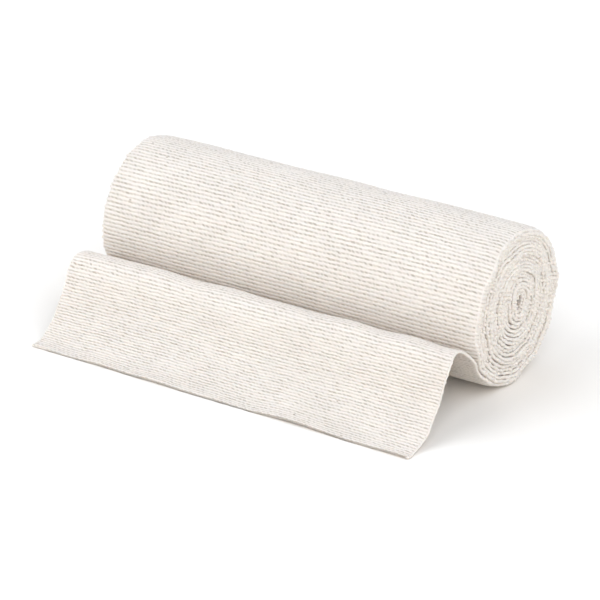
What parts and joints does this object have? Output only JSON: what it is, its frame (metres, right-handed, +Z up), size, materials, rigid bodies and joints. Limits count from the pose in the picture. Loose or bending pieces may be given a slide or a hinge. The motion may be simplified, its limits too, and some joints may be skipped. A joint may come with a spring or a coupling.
{
  "type": "elastic bandage",
  "caption": "Relaxed crepe elastic bandage wound into a roll that lies on its side, its free end standing up in a fold in front and running out flat to a plain cut edge.",
  "frame": {"origin": "middle of the footprint, on the surface that the roll lies on", "axes": "+X along the roll's axis, which is the strip's width; -Y towards the free end; +Z up"},
  "size_m": [0.1508, 0.095, 0.0543],
  "materials": {
    "crepe_web": "matte natural ivory cotton crepe, ribbed across its width, with bumpy woven selvedges and a plain cut end"
  },
  "bodies": {
    "root": {"bandage_web": "crepe_web"}
  },
  "joints": []
}
